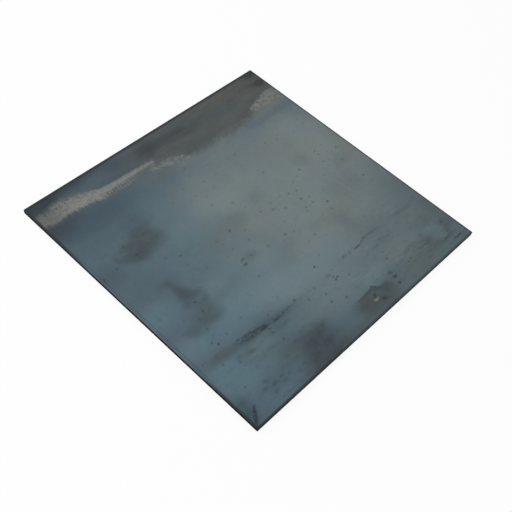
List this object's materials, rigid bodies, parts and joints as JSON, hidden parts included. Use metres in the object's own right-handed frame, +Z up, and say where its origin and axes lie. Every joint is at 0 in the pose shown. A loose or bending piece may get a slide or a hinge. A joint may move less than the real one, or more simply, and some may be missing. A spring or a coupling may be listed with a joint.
{
  "type": "steel plate",
  "caption": "Flat square of hot-rolled mild steel plate with blue-grey mill scale and sheared edges; raw stock for cutting, drilling and welding.",
  "frame": {"origin": "centre of the bottom face, on the surface that the plate lies on", "axes": "+Z up out of the scaled top face; +X along the rolling direction; +Y across the plate"},
  "size_m": [0.3048, 0.3048, 0.0048],
  "materials": {
    "mill_scale": "satin"
  },
  "bodies": {
    "root": {"steel_plate": "mill_scale"}
  },
  "joints": []
}
